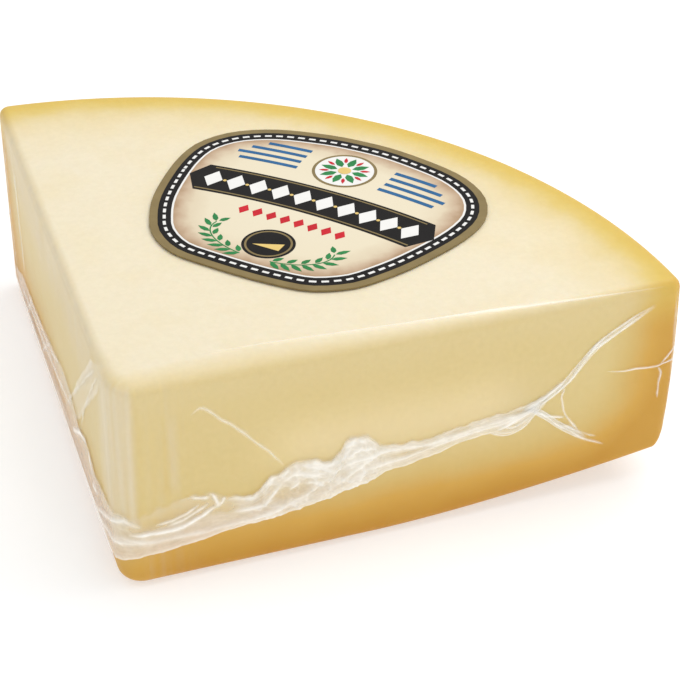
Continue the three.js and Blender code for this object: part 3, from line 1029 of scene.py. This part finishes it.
def inset_ring(ring, depth):
    """The closed ring moved inwards by depth."""
    ahead, behind = np.roll(ring, -1), np.roll(ring, 1)
    normal = 1j * (ahead - behind) / np.abs(ahead - behind)
    return ring + normal * depth


def plate_rows(ring, foot, top):
    """A plate's side and top as rows of points round the ring."""
    return [(ring, foot), (ring, top - 0.01), (inset_ring(ring, 0.02), top)]


def print_plate(name, ring, foot, top, material, depths=()):
    """A thin plate with the ring's outline. depths are shares of the way in for more rings on its top."""
    rows = plate_rows(ring, foot, top)
    rows += [(mix(ring, ring.mean(), depth), top) for depth in depths]
    walls = [at_height(label_to_plan(local), z) for local, z in rows]
    points = np.concatenate([*walls, [walls[0].mean(0), walls[-1].mean(0)]])
    wall_depths = np.repeat([0.0, 0.0, 0.0, *depths], len(ring))
    values = {"edge_depth": np.concatenate([wall_depths, [0.0, 1.0]])}
    faces = capped_faces(len(rows), len(ring))
    piece = make_mesh(name, points, faces, material, values, smooth=False)
    finish_label_piece(piece)


def finish_label_piece(piece):
    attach(piece, "root")
    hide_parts("label")


def prism(shape, foot, top):
    """Points and faces of a flat closed shape with a thickness; the shape runs counterclockwise."""
    shape = np.asarray(shape)
    count = len(shape)
    points = np.concatenate([at_height(shape, foot), at_height(shape, top)])
    faces = []
    for a, b, c in tessellate_polygon([[Vector((p.real, p.imag, 0)) for p in shape]]):
        turn = ((shape[b] - shape[a]).conjugate() * (shape[c] - shape[a])).imag
        a, b, c = (a, b, c) if turn > 0 else (a, c, b)
        faces += [(count + a, count + b, count + c), (a, c, b)]
    for i in range(count):
        j = (i + 1) % count
        faces.append((i, j, count + j, count + i))
    return points, faces


def layer_heights(layer):
    """Foot and top of a print layer; layer 1 lies right on the paper."""
    return PAPER_TOP + PRINT_STEP * (layer - 1) + 0.012, PAPER_TOP + PRINT_STEP * layer


def print_shapes(name, shapes, layer, material):
    """Flat shapes printed on the sticker, each a closed counterclockwise line in its plan."""
    points, faces, total = [], [], 0
    for shape in shapes:
        own_points, own_faces = prism(label_to_plan(np.asarray(shape)), *layer_heights(layer))
        faces += shifted(own_faces, total)
        points.append(own_points)
        total += len(own_points)
    piece = make_mesh(name, np.concatenate(points), faces, material, smooth=False)
    finish_label_piece(piece)


def repeat_tree():
    """Geometry Nodes: copies of one shape, evenly spaced along a line and turned with it."""
    tree = bpy.data.node_groups.new("shapes_along_a_line", "GeometryNodeTree")
    sockets = {"Line": "Geometry", "Count": "Int", "Shape": "Object", "Ink": "Material"}
    for name, kind in sockets.items():
        tree.interface.new_socket(name, in_out="INPUT", socket_type="NodeSocket" + kind)
    tree.interface.new_socket("Print", in_out="OUTPUT", socket_type="NodeSocketGeometry")
    given = tree.nodes.new("NodeGroupInput").outputs
    curve = add_node(tree, "GeometryNodeMeshToCurve", {"Mesh": given["Line"]}).outputs["Curve"]
    even = {"Curve": curve, "Count": given["Count"]}
    spaced = add_node(tree, "GeometryNodeResampleCurve", even).outputs["Curve"]
    shape = add_node(tree, "GeometryNodeObjectInfo", {"Object": given["Shape"]}).outputs["Geometry"]
    ahead = {"Vector": tree.nodes.new("GeometryNodeInputTangent").outputs["Tangent"]}
    turn = add_node(tree, "FunctionNodeAlignRotationToVector", ahead, axis="X", pivot_axis="Z")
    inputs = {"Points": spaced, "Instance": shape, "Rotation": turn.outputs["Rotation"]}
    placed = add_node(tree, "GeometryNodeInstanceOnPoints", inputs).outputs["Instances"]
    real = add_node(tree, "GeometryNodeRealizeInstances", {"Geometry": placed}).outputs["Geometry"]
    inked = add_node(tree, "GeometryNodeSetMaterial", {"Geometry": real, "Material": given["Ink"]})
    result = tree.nodes.new("NodeGroupOutput")
    tree.links.new(inked.outputs["Geometry"], result.inputs["Print"])
    return tree


def print_row(name, tree, line, count, shape, layer, material):
    """Copies of one shape printed along a line of the sticker's plan."""
    foot, top = layer_heights(layer)
    points, faces = prism(shape, 0.0, top - foot)
    sample_mesh = bpy.data.meshes.new("sample")
    sample_mesh.from_pydata((points * MM).tolist(), [], faces)
    sample = new_object("sample", sample_mesh)
    path_points = at_height(label_to_plan(np.asarray(line)) + TIP_PLACE, foot) * MM
    path = bpy.data.meshes.new("path")
    path.from_pydata(path_points.tolist(), [(i, i + 1) for i in range(len(path_points) - 1)], [])
    row = new_object("row", path)
    modifier = row.modifiers.new("repeat", "NODES")
    modifier.node_group = tree
    keys = {item.name: item.identifier for item in tree.interface.items_tree if item.in_out == "INPUT"}
    modifier[keys["Count"]] = count
    modifier[keys["Shape"]] = sample
    modifier[keys["Ink"]] = material
    graph = bpy.context.evaluated_depsgraph_get()
    printed = bpy.data.meshes.new_from_object(row.evaluated_get(graph))
    bpy.data.objects.remove(row)
    bpy.data.objects.remove(sample)
    finish_label_piece(new_object(name, printed))


def circle(centre, radius, steps=48):
    return centre + radius * np.exp(2j * np.pi * np.arange(steps) / steps)


def arc_line(left, right, height, bow, steps=40):
    """A line across the sticker, from left to right, that bows upwards in its middle."""
    u = np.linspace(left, right, steps)
    return LABEL_SHIFT + u + 1j * (height + bow * (1 - (u / BAND_HALF_WIDTH) ** 2))


def ribbon(line, thickness):
    """A band of even thickness along a line."""
    across = np.gradient(line)
    across = 1j * across / np.abs(across) * thickness / 2
    return np.concatenate([line - across, (line + across)[::-1]])


def closed_line(ring):
    """The ring as a line that ends just before it meets its own start."""
    return np.concatenate([ring, [mix(ring[-1], ring[0], 0.6)]])


DASH = np.array([-1 - 1j, 1 - 1j, 1 + 1j, -1 + 1j])
LOZENGE = np.array([-1.0, -1j, 1.0, 1j])
LEAF = np.array([-1.0, -0.45 - 0.32j, 0.25 - 0.30j, 1.0, 0.25 + 0.30j, -0.45 + 0.32j])
BAND_HALF_WIDTH = 34.5
BAND_POINT = 4.0
BAND_HEIGHT = 99.5
BAND_BOW = 3.0
BAND_THICKNESS = 14.5
BAND_LINE_OUT = 6.2
LOZENGE_COUNT = 10
LOZENGE_SPAN = 31.0
DOT_SPAN = 27.55
RING_DASHES = 78
EMBLEM_HEIGHT = 121.5
# Height, near end and far end of each rule
BLUE_RULES = [(124.5, 13.5, 27.0), (121.1, 13.5, 30.5), (117.7, 13.5, 33.0), (114.3, 13.0, 31.0)]
RULE_THICKNESS = 1.5
RED_HEIGHT = 88.2
RED_SPAN = 15.0
SEAL_CENTRE = complex(LABEL_SHIFT, 76.5)


def stretched(shape, width, height):
    return shape.real * width + 1j * shape.imag * height


def make_inks():
    return {
        "gold": ink_material("gold_border_print", (0.262, 0.196, 0.088), 0.10, 0.34),
        "black": ink_material("black_print", (0.014, 0.0125, 0.012), 0.15, 0.36),
        "white": ink_material("white_print", (0.88, 0.87, 0.84), 0.03),
        "red": ink_material("red_print", (0.60, 0.022, 0.035), 0.10),
        "blue": ink_material("blue_print", (0.035, 0.14, 0.31), 0.10),
        "green": ink_material("green_print", (0.035, 0.24, 0.075), 0.15),
        "straw": ink_material("straw_print", (0.80, 0.58, 0.20), 0.08),
    }


def print_fields(inks, rows):
    """Gold border, black ring with white dashes, white line and cream panel."""
    ring = label_ring()
    first = inset_ring(ring, GOLD_BORDER)
    second = inset_ring(ring, GOLD_BORDER + BLACK_RING)
    third = inset_ring(ring, GOLD_BORDER + BLACK_RING + WHITE_LINE)
    top = [PAPER_TOP + PRINT_STEP * layer for layer in range(4)]
    print_plate("sticker_paper_and_gold_border", ring, PAPER_FOOT, top[0], inks["gold"])
    print_plate("sticker_black_ring", first, top[0], top[1], inks["black"])
    marks = closed_line(inset_ring(ring, GOLD_BORDER + 0.5 * BLACK_RING))
    dash = stretched(DASH, 1.0, 0.42)
    print_row("sticker_ring_dashes", rows, marks, RING_DASHES, dash, 2, inks["white"])
    print_plate("sticker_white_line", second, top[1], top[2], inks["white"])
    depths = np.linspace(0.04, 0.9, 16)
    print_plate("sticker_cream_panel", third, top[2], top[3], panel_material(), depths)


def print_band(inks, rows):
    """Dark band with pointed ends, gold lines and white lozenges."""
    span = BAND_HALF_WIDTH
    band = ribbon(arc_line(-span, span, BAND_HEIGHT, BAND_BOW), BAND_THICKNESS)
    half = len(band) // 2
    tips = [band[[-1, 0]].mean() - BAND_POINT, band[[half - 1, half]].mean() + BAND_POINT]
    band = np.concatenate([[tips[0]], band[:half], [tips[1]], band[half:]])
    print_shapes("sticker_black_band", [band], 4, inks["black"])
    edges = []
    for side in (-1, 1):
        edge = arc_line(1 - span, span - 1, BAND_HEIGHT + side * BAND_LINE_OUT, BAND_BOW)
        edges.append(ribbon(edge, 0.5))
    print_shapes("sticker_band_gold_lines", edges, 5, inks["gold"])
    lozenges = arc_line(-LOZENGE_SPAN, LOZENGE_SPAN, BAND_HEIGHT, BAND_BOW)
    shape = stretched(LOZENGE, 2.8, 4.4)
    print_row("sticker_band_lozenges", rows, lozenges, LOZENGE_COUNT, shape, 5, inks["white"])
    dots = arc_line(-DOT_SPAN, DOT_SPAN, BAND_HEIGHT, BAND_BOW)
    shape = 0.55 * circle(0, 1.0, 12)
    print_row("sticker_band_dots", rows, dots, LOZENGE_COUNT - 1, shape, 5, inks["straw"])


def print_emblem(inks):
    """Round emblem of leaves and buds."""
    centre = complex(LABEL_SHIFT, EMBLEM_HEIGHT)
    print_shapes("sticker_emblem_gold", [circle(centre, 9.4)], 4, inks["gold"])
    print_shapes("sticker_emblem_white", [circle(centre, 8.5)], 5, inks["white"])
    spokes = np.exp(2j * np.pi * np.arange(8) / 8)
    petals = [centre + spoke * (stretched(LEAF, 2.6, 3.4) + 4.9) for spoke in spokes]
    print_shapes("sticker_emblem_petals", petals, 6, inks["green"])
    between = spokes * cmath.exp(1j * math.pi / 8)
    buds = [centre + spoke * (stretched(LEAF, 1.5, 1.6) + 5.9) for spoke in between]
    print_shapes("sticker_emblem_buds", buds, 7, inks["red"])
    print_shapes("sticker_emblem_heart", [circle(centre, 1.9)], 8, inks["straw"])


def print_rules(inks, rows):
    """Blue rules beside the emblem and a row of red lozenges under the band."""
    rules = []
    for side in (-1, 1):
        for height, near, far in BLUE_RULES:
            ends = sorted((side * near, side * far))
            rules.append(ribbon(arc_line(*ends, height, BAND_BOW), RULE_THICKNESS))
    print_shapes("sticker_blue_rules", rules, 4, inks["blue"])
    under = arc_line(-RED_SPAN, RED_SPAN, RED_HEIGHT, BAND_BOW / 2)
    print_row("sticker_red_lozenges", rows, under, 8, stretched(LOZENGE, 1.6, 2.5), 4, inks["red"])


def print_seal(inks):
    """Small black seal with a straw-coloured wedge."""
    print_shapes("sticker_seal_black", [circle(SEAL_CENTRE, 7.4)], 4, inks["black"])
    print_shapes("sticker_seal_ring", [circle(SEAL_CENTRE, 6.6)], 5, inks["gold"])
    print_shapes("sticker_seal_middle", [circle(SEAL_CENTRE, 6.0)], 6, inks["black"])
    wedge = SEAL_CENTRE + 1.3 * np.array([-3.0 - 1.6j, 3.2 - 1.6j, 3.2 + 1.2j])
    print_shapes("sticker_seal_wedge", [wedge], 7, inks["straw"])


def print_sprigs(inks, rows):
    """A green sprig on each side of the seal."""
    green = inks["green"]
    for side, name in ((-1, "left"), (1, "right")):
        sweep = np.linspace(-0.42 * math.pi, 0.05 * math.pi, 30)
        stem = SEAL_CENTRE + 2.0j + 10.0 * (side * 1.85 * np.cos(sweep) + 1j * np.sin(sweep))
        print_shapes(f"sticker_{name}_stem", [ribbon(stem, 0.4)[::side]], 4, green)
        for lean in (-1, 1):
            inner = lean == side
            leaf = (stretched(LEAF, 1.7 if inner else 2.2, 2.3) + 2.5) * cmath.exp(1j * lean * 0.7)
            kind, count = ("inner", 6) if inner else ("outer", 8)
            print_row(f"sticker_{name}_{kind}_leaves", rows, stem, count, leaf, 5, green)


def make_sticker():
    inks = make_inks()
    rows = repeat_tree()
    print_fields(inks, rows)
    print_band(inks, rows)
    print_emblem(inks)
    print_rules(inks, rows)
    print_seal(inks)
    print_sprigs(inks, rows)


# Floor, light and camera

CAMERA_PLACE = (-0.15018, -0.44597, 0.33750)
CAMERA_YAW = math.radians(19.6055)
CAMERA_PITCH = math.radians(34.6263)
CAMERA_ROLL = math.radians(0.6190)
CAMERA_LENS = 101.22
# Place, target, size and power of each softbox, in metres and watts
OVERHEAD_SOFTBOX = ((0.45, 0.08, 0.95), (0, 0, 0.05), (0.9, 0.9), 5.2)
FRONT_SOFTBOX = ((0.30, -1.15, 0.52), (0, -0.05, 0.03), (0.14, 0.14), 0.35)
STUDIO_STRENGTH = 0.72
FLOOR_SHADES = [(0.3, (0.63, 0.63, 0.63)), (0.7, (0.66, 0.66, 0.66))]
FLOOR_GLOW = 0.48
FLOOR_HALF_SIZE = 6.0


def make_floor():
    material, tree, shader = new_material("pale_floor")
    place = object_coordinates(tree)
    shade = noise_node(tree, place, 90.0, 2.0)
    looks = {
        "Base Color": ramp_node(tree, shade, FLOOR_SHADES),
        "Roughness": 0.9,
        "Emission Color": (1.0, 1.0, 1.0, 1.0),
        "Emission Strength": FLOOR_GLOW,
        "Specular IOR Level": 0.1,
    }
    fill_inputs(tree, shader, looks)
    mesh = bpy.data.meshes.new("floor")
    reach = FLOOR_HALF_SIZE
    corners = [(-reach, -reach, 0), (reach, -reach, 0), (reach, reach, 0), (-reach, reach, 0)]
    mesh.from_pydata(corners, [], [(0, 1, 2, 3)])
    mesh.materials.append(material)
    floor = new_object("floor", mesh)


def add_softbox(name, place, target, size, power):
    light = bpy.data.lights.new(name, "AREA")
    light.shape = "RECTANGLE"
    light.size, light.size_y = size
    light.energy = power
    lamp = new_object(name, light)
    lamp.location = place
    lamp.rotation_euler = (Vector(target) - Vector(place)).to_track_quat("-Z", "Y").to_euler()


def make_light():
    world = bpy.data.worlds.new("studio")
    world.use_nodes = True
    background = world.node_tree.nodes["Background"]
    fill_inputs(world.node_tree, background, {"Color": (1.0, 1.0, 1.0, 1.0), "Strength": STUDIO_STRENGTH})
    bpy.context.scene.world = world
    add_softbox("overhead_softbox", *OVERHEAD_SOFTBOX)
    add_softbox("front_softbox", *FRONT_SOFTBOX)


def make_camera():
    forward = Vector((
        math.sin(CAMERA_YAW) * math.cos(CAMERA_PITCH),
        math.cos(CAMERA_YAW) * math.cos(CAMERA_PITCH),
        -math.sin(CAMERA_PITCH),
    ))
    right = forward.cross(Vector((0, 0, 1))).normalized()
    up = right.cross(forward)
    rolled_right = math.cos(CAMERA_ROLL) * right + math.sin(CAMERA_ROLL) * up
    rolled_up = -math.sin(CAMERA_ROLL) * right + math.cos(CAMERA_ROLL) * up
    data = bpy.data.cameras.new("camera")
    data.sensor_width = 36.0
    data.lens = CAMERA_LENS
    data.clip_start = 0.02
    data.clip_end = 50.0
    camera = new_object("camera", data)
    turn = Matrix((rolled_right, rolled_up, -forward)).transposed().to_4x4()
    camera.matrix_world = Matrix.Translation(CAMERA_PLACE) @ turn
    bpy.context.scene.camera = camera
    bpy.context.scene.view_settings.view_transform = "Standard"


make_camera()
make_light()
make_floor()
make_cheese()
make_skin()
make_gather()
make_threads()
make_sticker()

bpy.context.view_layer.update()
